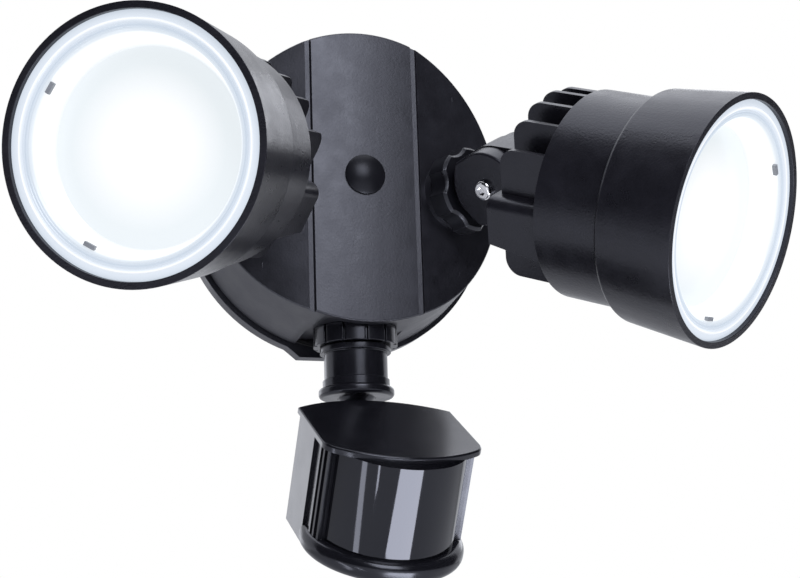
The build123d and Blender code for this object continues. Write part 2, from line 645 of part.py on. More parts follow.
with BuildPart() as arm_fork:
    with BuildSketch(Plane.XY.offset(-STEM_TAIL)):
        Circle(STEM_R)
    extrude(amount=STEM_TAIL + SHOULDER)
    # the two cheeks and their shoulder, one outline as wide as the knuckle
    with BuildSketch(Plane.YZ.offset(-KNUCKLE_HALF)):
        with Locations((0, PIVOT_HEIGHT)):
            Circle(KNUCKLE_R)
        with Locations((0, SHOULDER + SHOULDER_R / 2)):
            Rectangle(2 * SHOULDER_R, SHOULDER_R)
        make_hull()
    extrude(amount=2 * KNUCKLE_HALF)
    cheek_edges = arm_fork.faces().filter_by(Axis.X).edges()
    fillet(cheek_edges.filter_by(lambda edge: edge.bounding_box().max.Z > SHOULDER + 1),
           KNUCKLE_ROUND)
    # the shoulder narrows to a round seat over the locknut
    with BuildSketch(Plane.XZ):
        Polygon((SHOULDER_R, SHOULDER), (2 * KNUCKLE_HALF, SHOULDER),
                (2 * KNUCKLE_HALF, PIVOT_HEIGHT), (KNUCKLE_CORNER, PIVOT_HEIGHT - KNUCKLE_R / 2),
                align=None)
    revolve(axis=Axis.Z, mode=Mode.SUBTRACT)
    with BuildSketch(Plane.YZ.offset(-CHEEK_INSIDE)):
        with Locations((0, PIVOT_HEIGHT)):
            Circle(CROTCH_R)
            Rectangle(4 * CROTCH_R, 2 * CROTCH_LIP)
    extrude(amount=2 * CHEEK_INSIDE, mode=Mode.SUBTRACT)
    with BuildSketch(Plane.YZ.offset(-KNUCKLE_HALF)):
        with Locations((0, PIVOT_HEIGHT)):
            Circle(PIVOT_R)
    extrude(amount=2 * KNUCKLE_HALF, mode=Mode.SUBTRACT)
    with BuildSketch(Plane.XY.offset(-STEM_TAIL)):
        Circle(STEM_BORE)
    extrude(amount=STEM_TAIL + PIVOT_HEIGHT - LUG_R, mode=Mode.SUBTRACT)

with BuildPart() as pivot_screw:
    with BuildSketch(Plane.YZ.offset(-KNUCKLE_HALF)):
        with Locations((0, PIVOT_HEIGHT)):
            Circle(PIVOT_R)
    extrude(amount=2 * KNUCKLE_HALF + PIVOT_TAIL)
    with BuildSketch(Plane.YZ.offset(-KNUCKLE_HALF)):
        with Locations((0, PIVOT_HEIGHT)):
            Circle(PIVOT_HEAD_R)
    extrude(amount=-PIVOT_HEAD_H)
    fillet(pivot_screw.edges().group_by(Axis.X)[0], PIVOT_HEAD_H / 2)
    with BuildSketch(Plane.YZ.offset(-KNUCKLE_HALF - PIVOT_HEAD_H)):
        with Locations((0, PIVOT_HEIGHT)):
            RegularPolygon(SOCKET_R, 6)
    extrude(amount=PIVOT_HEAD_H / 2, mode=Mode.SUBTRACT)

with BuildPart() as pivot_nut:
    with BuildSketch(Plane.YZ.offset(KNUCKLE_HALF)):
        with Locations((0, PIVOT_HEIGHT)):
            RegularPolygon(PIVOT_NUT_R, 6)
            Circle(PIVOT_R, mode=Mode.SUBTRACT)
    extrude(amount=PIVOT_NUT_T)

ARM_PIECES = {"arm_seal": arm_seal, "arm_locknut": arm_locknut, "arm_fork": arm_fork,
              "pivot_screw": pivot_screw, "pivot_nut": pivot_nut}


# ================================================================ lamp heads, in their own frame
# the thick cross bar, thinner at its rear and rounded at both ends of its upper side
with BuildPart() as cross_bar:
    with BuildSketch(Plane.YZ.offset(-BAR_HALF)):
        Polygon((BAR_BOTTOM, BARREL_REAR), (BAR_BOTTOM + BAR_DRAFT, BAR_REAR),
                (BAR_TOP, BAR_REAR), (BAR_TOP, BARREL_REAR), align=None)
    extrude(amount=2 * BAR_HALF)
    fillet(cross_bar.edges().filter_by(Axis.Z).group_by(Axis.Y)[-1], BAR_ROUND)

FIN_EDGE = (FIN_COUNT - 1) / 2 * FIN_PITCH + FIN_T / 2
FIN_LOWER = sqrt(FIN_R ** 2 - FIN_EDGE ** 2)

with BuildPart() as heat_sink:
    with BuildSketch(Plane.XY.offset(BARREL_REAR)):
        Circle(BARREL_R)
    extrude(amount=BARREL_FRONT - BARREL_REAR)
    with BuildSketch(Plane.XY.offset(BOARD_FACE)):
        Circle(BARREL_R - BARREL_WALL)
    extrude(amount=BARREL_FRONT - BOARD_FACE, mode=Mode.SUBTRACT)
    with BuildSketch(Plane.XY.offset(BOARD_FACE)):
        with PolarLocations(BOARD_SCREW_CIRCLE, BOARD_SCREW_COUNT):
            Circle(SMALL_SCREW_R)
    extrude(amount=-BOARD_SCREW_DEPTH, mode=Mode.SUBTRACT)
    # plate fins square to the tilt axis: their upper ends follow the barrel, the lower are level
    for index in range(FIN_COUNT):
        x = (index - (FIN_COUNT - 1) / 2) * FIN_PITCH
        upper = sqrt(FIN_R ** 2 - (abs(x) + FIN_T / 2) ** 2)
        with BuildSketch(Plane.YZ.offset(x - FIN_T / 2)) as fin:
            with Locations(((upper - FIN_LOWER) / 2, (FIN_REAR + BARREL_REAR) / 2)):
                Rectangle(upper + FIN_LOWER, FIN_LENGTH)
            fillet(fin.vertices().group_by(Axis.Y)[0], FIN_ROUND)
        extrude(amount=FIN_T)
    add(cross_bar.part)
    # the lug that turns between the fork's cheeks
    with BuildSketch(Plane.YZ.offset(-LUG_HALF)):
        Circle(LUG_R)
        Polygon((-LUG_R, 0), (-LUG_SPREAD, FIN_REAR + FIN_T), (LUG_SPREAD, FIN_REAR + FIN_T),
                (LUG_R, 0), align=None)
    extrude(amount=2 * LUG_HALF)
    with BuildSketch(Plane.YZ.offset(-LUG_HALF)):
        Circle(PIVOT_R + RUN)
    extrude(amount=2 * LUG_HALF, mode=Mode.SUBTRACT)

with BuildPart() as shroud:
    with BuildSketch(Plane.XZ) as shroud_profile:
        with BuildLine():
            Polyline((BARREL_R, SHROUD_REAR), (SHROUD_R, SHROUD_REAR), (RIM_R, LENS_REACH),
                     (BEZEL_R, LENS_REACH), (BEZEL_R, LENS_SEAT), (SEAT_R, LENS_SEAT),
                     (BARREL_R + 0.5, BARREL_FRONT), (BARREL_R, BARREL_FRONT), close=True)
        make_face()
        shoulder = shroud_profile.vertices().sort_by_distance((SHROUD_R, SHROUD_REAR))[0]
        fillet(shoulder, SHROUD_ROUND)
    revolve(axis=Axis.Z)

with BuildPart() as lens_gasket:
    with BuildSketch(Plane.XY.offset(LENS_SEAT)):
        Circle(LENS_R)
        Circle(SEAT_R, mode=Mode.SUBTRACT)
    extrude(amount=GASKET_H)

DISH_FRONT = LENS_FRONT - LENS_STEP
LENS_DOME_R, LENS_DOME_ANGLE = dome(LENS_DISH_R, LENS_CROWN)

with BuildPart() as lens_disc:
    with BuildSketch(Plane.XZ):
        with BuildLine():
            Polyline((0, DISH_FRONT - LENS_FLANGE_T), (LENS_FLANGE_IN, DISH_FRONT - LENS_FLANGE_T),
                     (LENS_FLANGE_IN, LENS_FRONT - LENS_FLANGE_T),
                     (LENS_R, LENS_FRONT - LENS_FLANGE_T), (LENS_R, LENS_FRONT),
                     (LENS_FLANGE_IN, LENS_FRONT), (LENS_DISH_R, DISH_FRONT))
            CenterArc((0, DISH_FRONT + LENS_CROWN - LENS_DOME_R), LENS_DOME_R,
                      90 - LENS_DOME_ANGLE, LENS_DOME_ANGLE)
            Line((0, DISH_FRONT + LENS_CROWN), (0, DISH_FRONT - LENS_FLANGE_T))
        make_face()
    revolve(axis=Axis.Z)

REFLECTOR_REAR = BOARD_FACE + BOARD_T
FLANGE_TOP = BARREL_FRONT + REFLECTOR_FLANGE

with BuildPart() as reflector:
    with BuildSketch(Plane.XZ):
        with BuildLine():
            Polyline((REFLECTOR_REAR_R, REFLECTOR_REAR),
                     (REFLECTOR_REAR_R + REFLECTOR_T, REFLECTOR_REAR),
                     (BARREL_R - BARREL_WALL - LENS_GAP, BARREL_FRONT),
                     (BARREL_R - LENS_GAP, BARREL_FRONT), (BARREL_R - LENS_GAP, FLANGE_TOP),
                     (BARREL_R - LENS_GAP - REFLECTOR_LIP, FLANGE_TOP), close=True)
        make_face()
    revolve(axis=Axis.Z)

with BuildPart() as led_board:
    with BuildSketch(Plane.XY.offset(BOARD_FACE)):
        Circle(BOARD_SCREW_CIRCLE + BOARD_MARGIN)
        with PolarLocations(BOARD_SCREW_CIRCLE, BOARD_SCREW_COUNT):
            Circle(SMALL_SCREW_R, mode=Mode.SUBTRACT)
    extrude(amount=BOARD_T)

with BuildPart() as led_chips:
    with BuildSketch(Plane.XY.offset(REFLECTOR_REAR)):
        with GridLocations(CHIP_PITCH, CHIP_PITCH, CHIP_ROWS, CHIP_ROWS):
            Rectangle(CHIP_W, CHIP_W)
    extrude(amount=CHIP_T)

with BuildPart() as board_screws:
    with BuildSketch(Plane.XY.offset(BOARD_FACE - BOARD_SCREW_DEPTH)):
        with PolarLocations(BOARD_SCREW_CIRCLE, BOARD_SCREW_COUNT):
            Circle(SMALL_SCREW_R)
    extrude(amount=BOARD_SCREW_DEPTH + BOARD_T)
    with BuildSketch(Plane.XY.offset(BOARD_FACE + BOARD_T)):
        with PolarLocations(BOARD_SCREW_CIRCLE, BOARD_SCREW_COUNT):
            Circle(SMALL_HEAD_R)
    extrude(amount=SCREW_HEAD_H)

HEAD_PIECES = {"heat_sink": heat_sink, "shroud": shroud, "lens_gasket": lens_gasket,
               "reflector": reflector, "led_board": led_board, "led_chips": led_chips,
               "board_screws": board_screws}


def clip_outline(side):
    """Outline of the clips on one head's lens."""
    with BuildSketch() as outline:
        for angle in CLIP_ANGLES[side]:
            spot = (CLIP_CIRCLE * cos(radians(angle)), CLIP_CIRCLE * sin(radians(angle)), 0)
            with Locations(Location(spot, (0, 0, angle))):
                Rectangle(CLIP_H, CLIP_W)
    return outline.sketch


for side in ("right", "left"):
    with BuildPart() as lens:
        add(lens_disc.part)
        with BuildSketch(Plane.XY.offset(DISH_FRONT - CLIP_SINK)):
            add(clip_outline(side))
        extrude(amount=CLIP_SINK + LENS_STEP, mode=Mode.SUBTRACT)
    with BuildPart() as lens_clips:
        with BuildSketch(Plane.XY.offset(DISH_FRONT - CLIP_SINK)):
            add(clip_outline(side))
        extrude(amount=CLIP_T)
    for name, built in ARM_PIECES.items():
        keep(f"{side}_{name}", built.part.moved(ARMS[side].location))
    for name, built in (HEAD_PIECES | {"lens": lens, "lens_clips": lens_clips}).items():
        keep(f"{side}_{name}", built.part.moved(HEADS[side].location))


# ================================================================ sensor neck
with BuildPart() as sensor_locknut:
    with BuildSketch(Plane.XY.offset(SENSOR_NUT_BOTTOM)):
        with Locations((0, NECK_Y)):
            Circle(SENSOR_NUT_R)
            with PolarLocations(SENSOR_NUT_R, SENSOR_NUT_SLITS):
                Rectangle(2 * SLIT_DEPTH, SLIT_W, mode=Mode.SUBTRACT)
            Circle(STEM_R + RUN, mode=Mode.SUBTRACT)
    extrude(amount=PAD_Z - SENSOR_NUT_BOTTOM)
keep("sensor_locknut", sensor_locknut.part)

SOCKET_SPHERE_R = BALL_R + RUN
NECK_SIDE = Plane(origin=(0, NECK_Y, 0), x_dir=(1, 0, 0), z_dir=(0, -1, 0))

with BuildPart() as neck_sleeve:
    with BuildSketch(NECK_SIDE):
        with BuildLine():
            Polyline((NECK_BORE, NECK_TOP), (STEM_R, NECK_TOP),
                     (STEM_R, NECK_SHOULDER_TOP),
                     (NECK_SHOULDER_R, NECK_SHOULDER_TOP),
                     (NECK_SHOULDER_R, NECK_SHOULDER_BOTTOM), (SLEEVE_R, NECK_SHOULDER_BOTTOM),
                     (SLEEVE_R, SEAM_Z), (NECK_BORE, SEAM_Z), close=True)
        make_face()
    revolve(axis=NECK_AXIS)
    with Locations((0, NECK_Y, BALL_Z)):
        Sphere(SOCKET_SPHERE_R, mode=Mode.SUBTRACT)
keep("neck_sleeve", neck_sleeve.part)

with BuildPart() as neck_collar:
    with BuildSketch(NECK_SIDE) as collar_profile:
        with BuildLine():
            Polyline((NECK_BORE, SEAM_Z), (COLLAR_BAND_R, SEAM_Z),
                     (COLLAR_BAND_R, COLLAR_BAND_BOTTOM), (COLLAR_R, COLLAR_BAND_BOTTOM),
                     (COLLAR_R, COLLAR_BOTTOM), (NECK_BORE, COLLAR_BOTTOM), close=True)
        make_face()
        edge_of_collar = collar_profile.vertices().group_by(Axis.X)[-1]
        fillet(edge_of_collar, COLLAR_ROUND)
    revolve(axis=NECK_AXIS)
    with Locations((0, NECK_Y, BALL_Z)):
        Sphere(SOCKET_SPHERE_R, mode=Mode.SUBTRACT)
keep("neck_collar", neck_collar.part)


# ================================================================ sensor head, in its own frame
def case_outline(half, side, back):
    """The rear part of the case seen from above: flat sides and a bowed back."""
    with BuildSketch() as outline:
        with BuildLine():
            ThreePointArc((-half, 0), (0, back), (half, 0))
            Polyline((half, 0), (half, -side), (-half, -side), (-half, 0))
        make_face()
    return outline.sketch


def drum_sector(radius, wall, start, end):
    """Part of the lens drum's wall seen from above, between two angles in degrees."""
    with BuildSketch() as sector:
        with BuildLine():
            CenterArc((0, DRUM_Y), radius, start, end - start)
            CenterArc((0, DRUM_Y), radius - wall, start, end - start)
            for angle in (start, end):
                way = (cos(radians(angle)), sin(radians(angle)))
                Line(((radius - wall) * way[0], DRUM_Y + (radius - wall) * way[1]),
                     (radius * way[0], DRUM_Y + radius * way[1]))
        make_face()
    return sector.sketch


with BuildPart() as sensor_roof:
    with BuildSketch(Plane.XY.offset(-ROOF_T)) as roof_outline:
        with BuildLine():
            ThreePointArc((-ROOF_HALF, 0), (0, ROOF_BACK), (ROOF_HALF, 0))
            Line((ROOF_HALF, 0), (ROOF_HALF, -ROOF_SIDE))
            ThreePointArc((ROOF_HALF, -ROOF_SIDE), (0, -ROOF_FRONT), (-ROOF_HALF, -ROOF_SIDE))
            Line((-ROOF_HALF, -ROOF_SIDE), (-ROOF_HALF, 0))
        make_face()
        fillet(roof_outline.vertices().group_by(Axis.Y)[0], ROOF_ROUND)
    extrude(amount=ROOF_T)
    fillet(sensor_roof.faces().sort_by(Axis.Z)[-1].edges(), ROOF_EDGE)

BALL = Vector(0, ROOF_AHEAD, ROOF_BELOW)
STUD_DIR = Vector(0, -sin(radians(STUD_REST)), -cos(radians(STUD_REST)))
STUD = Plane(origin=BALL, x_dir=(1, 0, 0), z_dir=STUD_DIR)
KNOB_SPOTS = {"time_knob": -KNOB_X, "range_knob": KNOB_X}
FLOOR_BOTTOM = -CASE_HEIGHT
FLOOR_TOP = FLOOR_BOTTOM + FLOOR_T
FLOOR_POSTS = [(-FLOOR_POST_X, FLOOR_POST_Y), (FLOOR_POST_X, FLOOR_POST_Y)]

# the spine behind the case that holds the ball stud
with BuildPart() as spine:
    with BuildSketch(STUD.offset(SPINE_START)):
        Circle(SPINE_R)
    extrude(amount=SPINE_END - SPINE_START)
    fillet(spine.edges(), SPINE_ROUND)

with BuildPart() as sensor_case:
    with BuildSketch(Plane.XY.offset(-CASE_HEIGHT)):
        add(case_outline(CASE_HALF, CASE_SIDE, CASE_BACK))
    extrude(amount=CASE_HEIGHT - ROOF_T)
    add(spine.part)
    with BuildSketch(Plane.XY.offset(-CASE_HEIGHT)):
        add(case_outline(CASE_IN, CASE_SIDE + CASE_WALL, CASE_BACK - CASE_WALL))
    extrude(amount=CASE_HEIGHT - ROOF_T, mode=Mode.SUBTRACT)
    with BuildSketch(STUD):
        Circle(STUD_R)
    extrude(amount=STUD_LENGTH, mode=Mode.SUBTRACT)
    # posts for the two screws of the base
    with BuildSketch(Plane.XY.offset(FLOOR_TOP)):
        with Locations(*FLOOR_POSTS):
            Circle(FLOOR_POST_R)
    extrude(amount=FLOOR_POST_H)
    with BuildSketch(Plane.XY.offset(FLOOR_TOP)):
        with Locations(*FLOOR_POSTS):
            Circle(SMALL_SCREW_R)
    extrude(amount=FLOOR_POST_H / 2, mode=Mode.SUBTRACT)
    # ribbed frames that carry on from the sides to the lens
    for start, end in ((180, 180 + FRAME_END), (360 - FRAME_END, 360)):
        with BuildSketch(Plane.XY.offset(DRUM_BOTTOM)):
            add(drum_sector(FRAME_OUT, FRAME_T, start, end))
        extrude(amount=-DRUM_BOTTOM - ROOF_T)
        for index in range(RIB_COUNT):
            angle = start + (index + 0.5) * (end - start) / RIB_COUNT
            way = (cos(radians(angle)), sin(radians(angle)))
            with BuildSketch(Plane.XY.offset(DRUM_BOTTOM)):
                with Locations(Location((FRAME_OUT * way[0], DRUM_Y + FRAME_OUT * way[1], 0),
                                        (0, 0, angle))):
                    Rectangle(2 * RIB_H, RIB_W)
            extrude(amount=-DRUM_BOTTOM - ROOF_T)
    # webs that join each frame to the side wall
    for side in (-1, 1):
        with BuildSketch(Plane.XY.offset(DRUM_BOTTOM)):
            with Locations((side * (FRAME_OUT - FRAME_T / 2), (DRUM_Y - CASE_SIDE) / 2)):
                Rectangle(FRAME_T, abs(DRUM_Y) - CASE_SIDE + FRAME_T)
        extrude(amount=-DRUM_BOTTOM - ROOF_T)

with BuildPart() as fresnel_lens:
    with BuildSketch(Plane.XY.offset(DRUM_BOTTOM)):
        add(drum_sector(DRUM_R, DRUM_WALL, 180 + DRUM_HIDDEN, 360 - DRUM_HIDDEN))
    extrude(amount=-DRUM_BOTTOM - ROOF_T)
    # its top is closed under the roof
    with BuildSketch(Plane.XY.offset(-ROOF_T)):
        add(drum_sector(DRUM_R, DRUM_R - DRUM_TOP_R, 180 + DRUM_HIDDEN, 360 - DRUM_HIDDEN))
    extrude(amount=-DRUM_WALL)

with BuildPart() as sensor_base:
    with BuildSketch(Plane.XY.offset(LIP_BOTTOM)):
        with Locations((0, DRUM_Y)):
            Circle(LIP_R)
    extrude(amount=DRUM_BOTTOM - LIP_BOTTOM)
    fillet(sensor_base.edges(), LIP_ROUND)
    with Locations((0, PLATE_R / 2 - CASE_SIDE - SIDE_GAP, LIP_BOTTOM)):
        Box(2 * PLATE_R, PLATE_R, 2 * PLATE_R, mode=Mode.SUBTRACT)
    with BuildSketch(Plane.XY.offset(FLOOR_TOP)):
        with Locations((0, DRUM_Y)):
            Circle(DRUM_R - DRUM_WALL - LIP_ROUND)
    extrude(amount=DRUM_BOTTOM - FLOOR_TOP, mode=Mode.SUBTRACT)
    with BuildSketch(Plane.XY.offset(FLOOR_BOTTOM)):
        add(case_outline(CASE_IN, CASE_SIDE + CASE_WALL, CASE_BACK - CASE_WALL))
    extrude(amount=FLOOR_T)
    for x in KNOB_SPOTS.values():
        with BuildSketch(Plane.XY.offset(LIP_BOTTOM)):
            with Locations((x, KNOB_Y)):
                Circle(KNOB_R + RUN)
        extrude(amount=FLOOR_TOP - LIP_BOTTOM, mode=Mode.SUBTRACT)
    with BuildSketch(Plane.XY.offset(LIP_BOTTOM)):
        with Locations(*FLOOR_POSTS):
            Circle(SMALL_SCREW_R)
    extrude(amount=FLOOR_TOP - LIP_BOTTOM, mode=Mode.SUBTRACT)

with BuildPart() as base_screws:
    with BuildSketch(Plane.XY.offset(FLOOR_BOTTOM)):
        with Locations(*FLOOR_POSTS):
            Circle(SMALL_SCREW_R)
    extrude(amount=FLOOR_T + FLOOR_POST_H / 2)
    with BuildSketch(Plane.XY.offset(FLOOR_BOTTOM)):
        with Locations(*FLOOR_POSTS):
            Circle(SMALL_HEAD_R)
    extrude(amount=-SCREW_HEAD_H / 2)

with BuildPart() as ball_stud:
    with Locations(BALL):
        Sphere(BALL_R)
    with BuildSketch(STUD):
        Circle(STUD_R)
    extrude(amount=STUD_LENGTH)

BOARD_HEIGHT = PIR_BOARD_TOP - PIR_BOARD_BOTTOM

with BuildPart() as pir_board:
    with BuildSketch(Plane.XZ.offset(-PIR_BOARD_Y - PIR_BOARD_T)):
        with Locations((0, (PIR_BOARD_TOP + PIR_BOARD_BOTTOM) / 2)):
            Rectangle(2 * CASE_IN, BOARD_HEIGHT)
    extrude(amount=PIR_BOARD_T)

with BuildPart() as pir_element:
    with BuildSketch(Plane.XZ.offset(-PIR_BOARD_Y)):
        with Locations((0, PIR_Z)):
            Circle(PIR_FLANGE_R)
    extrude(amount=CHIP_T)
    with BuildSketch(Plane.XZ.offset(-PIR_BOARD_Y)):
        with Locations((0, PIR_Z)):
            Circle(PIR_R)
    extrude(amount=PIR_H)

SENSOR_PIECES = {"sensor_roof": sensor_roof, "sensor_case": sensor_case,
                 "fresnel_lens": fresnel_lens, "sensor_base": sensor_base,
                 "base_screws": base_screws, "ball_stud": ball_stud,
                 "pir_board": pir_board, "pir_element": pir_element}

for name, built in SENSOR_PIECES.items():
    keep(name, built.part.moved(SENSOR.location))

for name, x in KNOB_SPOTS.items():
    with BuildPart() as knob:
        with BuildSketch(Plane.XY.offset(FLOOR_BOTTOM - KNOB_PROUD)):
            with Locations((x, KNOB_Y)):
                Circle(KNOB_R)
        extrude(amount=FLOOR_T + KNOB_PROUD + KNOB_GAP)
        with BuildSketch(Plane.XY.offset(FLOOR_TOP + KNOB_GAP)):
            with Locations((x, KNOB_Y)):
                Circle(KNOB_FLANGE_R)
        extrude(amount=KNOB_FLANGE_T)
        with BuildSketch(Plane.XY.offset(FLOOR_BOTTOM - KNOB_PROUD)):
            with Locations((x, KNOB_Y)):
                Rectangle(KNOB_SLOT, 2 * KNOB_R)
        extrude(amount=KNOB_SLOT, mode=Mode.SUBTRACT)
    keep(name, knob.part.moved(SENSOR.location))
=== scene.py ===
"""Studio scene of a twin-head motion sensor security light, in metres.

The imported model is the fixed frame.  Its pieces keep their places and get their finishes and
small edge rounds here, and the lens of each lamp gives way to one with its finer steps.
"""
import json
import math

import bmesh
import bpy
import numpy as np
from mathutils import Matrix, Vector


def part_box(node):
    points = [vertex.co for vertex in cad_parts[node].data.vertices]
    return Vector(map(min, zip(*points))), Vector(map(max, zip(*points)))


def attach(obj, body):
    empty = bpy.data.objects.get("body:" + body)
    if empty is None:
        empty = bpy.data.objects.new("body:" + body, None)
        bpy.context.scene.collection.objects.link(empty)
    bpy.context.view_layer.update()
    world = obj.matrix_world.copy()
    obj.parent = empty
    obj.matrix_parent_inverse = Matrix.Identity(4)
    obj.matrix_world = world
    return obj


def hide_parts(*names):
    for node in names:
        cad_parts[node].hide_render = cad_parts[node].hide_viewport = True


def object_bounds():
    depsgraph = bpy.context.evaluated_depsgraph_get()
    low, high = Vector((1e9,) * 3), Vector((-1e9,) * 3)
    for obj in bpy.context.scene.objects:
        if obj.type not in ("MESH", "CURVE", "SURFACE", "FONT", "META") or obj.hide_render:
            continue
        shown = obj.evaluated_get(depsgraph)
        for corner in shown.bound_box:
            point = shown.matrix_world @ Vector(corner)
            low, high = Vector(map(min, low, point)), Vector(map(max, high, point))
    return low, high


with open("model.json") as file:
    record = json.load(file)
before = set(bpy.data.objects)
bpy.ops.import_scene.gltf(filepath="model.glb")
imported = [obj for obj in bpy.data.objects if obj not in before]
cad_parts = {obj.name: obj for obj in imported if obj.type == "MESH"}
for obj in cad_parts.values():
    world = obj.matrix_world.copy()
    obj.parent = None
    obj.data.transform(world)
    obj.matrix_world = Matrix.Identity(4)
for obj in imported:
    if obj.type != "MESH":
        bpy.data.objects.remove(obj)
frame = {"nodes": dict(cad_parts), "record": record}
cad_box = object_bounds()
NODES = frame["nodes"]
SIDES = ("right", "left")

# ---------------------------------------------------------------- camera, fitted to the photo
VIEW_AZIMUTH = -17.418
VIEW_ELEVATION = -13.626
VIEW_ROLL = -1.879
VIEW_DISTANCE = 0.7944
VIEW_TARGET = Vector((0.02019, -0.035, -0.04439))
LENS_MM = 82.53

# ---------------------------------------------------------------- colours, linear
BLACK_COAT = (0.0078, 0.0075, 0.0105)
BLACK_PLASTIC = (0.0060, 0.0060, 0.0082)
DARK_LENS = (0.0030, 0.0030, 0.0042)
RUBBER = (0.0070, 0.0070, 0.0078)
COOL_GLOSS = (0.86, 0.88, 1.0)
COOL_LIGHT = (0.92, 0.94, 1.0)
CHROME = (0.82, 0.82, 0.84)
ZINC = (0.62, 0.63, 0.65)
WHITE_PLASTIC = (0.78, 0.78, 0.76)
CREAM_PLASTIC = (0.72, 0.67, 0.52)
BOARD_GREEN = (0.03, 0.20, 0.07)
SCREW_GREEN = (0.06, 0.30, 0.10)
PHOSPHOR = (0.90, 0.72, 0.22)
CLIP_GREY = (0.22, 0.23, 0.25)
LENS_CLEAR = (0.8, 0.82, 0.85)

# ---------------------------------------------------------------- stage
FLOOR_DROP = 0.16              # below the light
FLOOR_SIZE = 6.0
PALE = (0.86, 0.86, 0.87)
ROOM_DARK = (0.05, 0.05, 0.055)
ROOM_RADIUS = 2.4
ROOM_AZIMUTHS = (-105, 105)    # degrees that the dark side of the room spans
ROOM_ELEVATIONS = (-14, 62)
ROOM_GRID = (24, 12)           # faces across and up
SURROUND_PLAIN = 0.45          # strength of the surround as light on matt faces
SURROUND_SEEN = 1.0            # and as seen directly, mirrored or through glass
HEART = Vector((0, -0.06, 0))
WINDOW = Vector((0.0, -0.09, -0.13))
# name: target, azimuth, elevation, distance, width, height, radiance, seen in gloss only
LAMPS = {
    "key": (HEART, 2, 27, 1.6, 0.80, 0.95, 6.5, False),
    "top": (HEART, 180, 80, 1.4, 1.7, 1.6, 1.0, False),
    "rim_left": (HEART, -160, 10, 1.5, 0.6, 0.7, 1.0, False),
    "rim_right": (HEART, 136, 22, 1.6, 0.6, 0.6, 1.7, False),
    "low_strip": (WINDOW, 17, -50, 0.20, 0.125, 0.10, 11.0, True),
    "side_strip": (WINDOW, -76, -32, 0.30, 0.035, 0.14, 5.0, True),
    "thin_strip": (WINDOW, -52, -43, 0.30, 0.012, 0.16, 9.0, True),
}

# ---------------------------------------------------------------- edge rounds of the CAD nodes
WELD_GAP = 1e-6
FLAT_DEGREES = 0.6             # faces closer to flat than this are joined
ROUND_DEGREES = 32.0           # edges sharper than this are rounded
ROUND_STEPS = 3
EDGE_ROUNDS = {
    "canopy_cover": 0.0004, "back_plate": 0.0005,
    "sensor_roof": 0.0003, "sensor_case": 0.0003, "sensor_base": 0.0003,
    "neck_sleeve": 0.0004, "neck_collar": 0.0003, "sensor_locknut": 0.0003,
    "centre_plug": 0.0003,
}
for side in SIDES:
    EDGE_ROUNDS[f"{side}_heat_sink"] = 0.0005
    EDGE_ROUNDS[f"{side}_shroud"] = 0.0006
    EDGE_ROUNDS[f"{side}_arm_fork"] = 0.0004
    EDGE_ROUNDS[f"{side}_arm_locknut"] = 0.0004

# ---------------------------------------------------------------- lamp lenses, in millimetres
MM = 0.001
LENS_SKIN = 1.4
LENS_BACK = 2.0                # back of the flange
LENS_MID_RADIUS = 45.0         # only the flange reaches beyond this
BOWL_R = 36.5
BOWL_DEPTH = 13.0
BOWL_CROWN = 1.2
CROWN_STEPS = 12
FLANGE_R = 47.7
FLANGE_EDGE = [(FLANGE_R, -0.5), (47.55, -0.15), (47.2, 0.0)]
RIM_BEAD = ((44.9, 0.0), (43.9, -0.1))
RIM_BEAD_RISE = 0.42
FINE_BEADS = ((43.5, -0.55), (42.6, -0.75), (41.6, -0.95), (40.6, -1.2))
FINE_BEAD_RISE = 0.22
BEAD_STEPS = 5
WALL_TOP = ((40.2, -1.5), (39.85, -2.2))
WALL_BACK_TOP = ((41.2, -3.4), (43.0, -LENS_BACK))
LENS_SEGMENTS = 160
SMOOTH_DEGREES = 35
LENS_GREY = (0.20, 0.21, 0.22)
LENS_GLOW = 0.86
GLOW_SPAN = 48.0
# The lamp's glow, with painted light in its colour: a painted hot spot in the middle, painted
# highlights on the inner wall (37.6 to 39.6 mm) and the step edge (44.4 mm), and painted shade in
# the groove (42.2 mm)
GLOW_AND_PAINTED_LIGHT = (                # radius in millimetres, and the glow's colour there, painted light included
    (0, (1.0, 1.0, 1.0)), (14, (1.0, 1.0, 1.0)), (30, (0.78, 0.83, 0.85)),
    (36.0, (0.77, 0.82, 0.845)), (37.6, (1.0, 1.0, 1.0)), (39.6, (1.0, 1.0, 1.0)),
    (40.4, (0.70, 0.76, 0.82)), (42.2, (0.50, 0.58, 0.68)), (43.8, (0.68, 0.74, 0.82)),
    (44.4, (1.0, 1.0, 1.0)), (45.0, (0.70, 0.76, 0.84)), (FLANGE_R, (0.62, 0.69, 0.78)),
)


# ================================================================ camera
def place_camera():
    """The photograph's own viewpoint, from its angles and distance."""
    a, e, r = (math.radians(v) for v in (VIEW_AZIMUTH, VIEW_ELEVATION, VIEW_ROLL))
    back = Vector((math.sin(a) * math.cos(e), -math.cos(a) * math.cos(e), math.sin(e)))
    right = Vector((math.cos(a), math.sin(a), 0))
    up = back.cross(right)
    right, up = math.cos(r) * right + math.sin(r) * up, math.cos(r) * up - math.sin(r) * right
    data = bpy.data.cameras.new("camera")
    data.lens = LENS_MM
    camera = bpy.data.objects.new("camera", data)
    bpy.context.scene.collection.objects.link(camera)
    turn = Matrix((right, up, back)).transposed().to_4x4()
    camera.matrix_world = Matrix.Translation(VIEW_TARGET + VIEW_DISTANCE * back) @ turn
    data.clip_start = VIEW_DISTANCE / 50
    data.clip_end = FLOOR_SIZE * 4
    bpy.context.scene.camera = camera


# ================================================================ materials
def material(name, color, roughness, **sockets):
    """A Principled material; other sockets are given by name, with _ for a space."""
    made = bpy.data.materials.new(name)
    made.use_nodes = True
    shader = made.node_tree.nodes["Principled BSDF"]
    shader.inputs["Base Color"].default_value = (*color, 1)
    shader.inputs["Roughness"].default_value = roughness
    for socket, value in sockets.items():
        shader.inputs[socket.replace("_", " ")].default_value = value
    return made


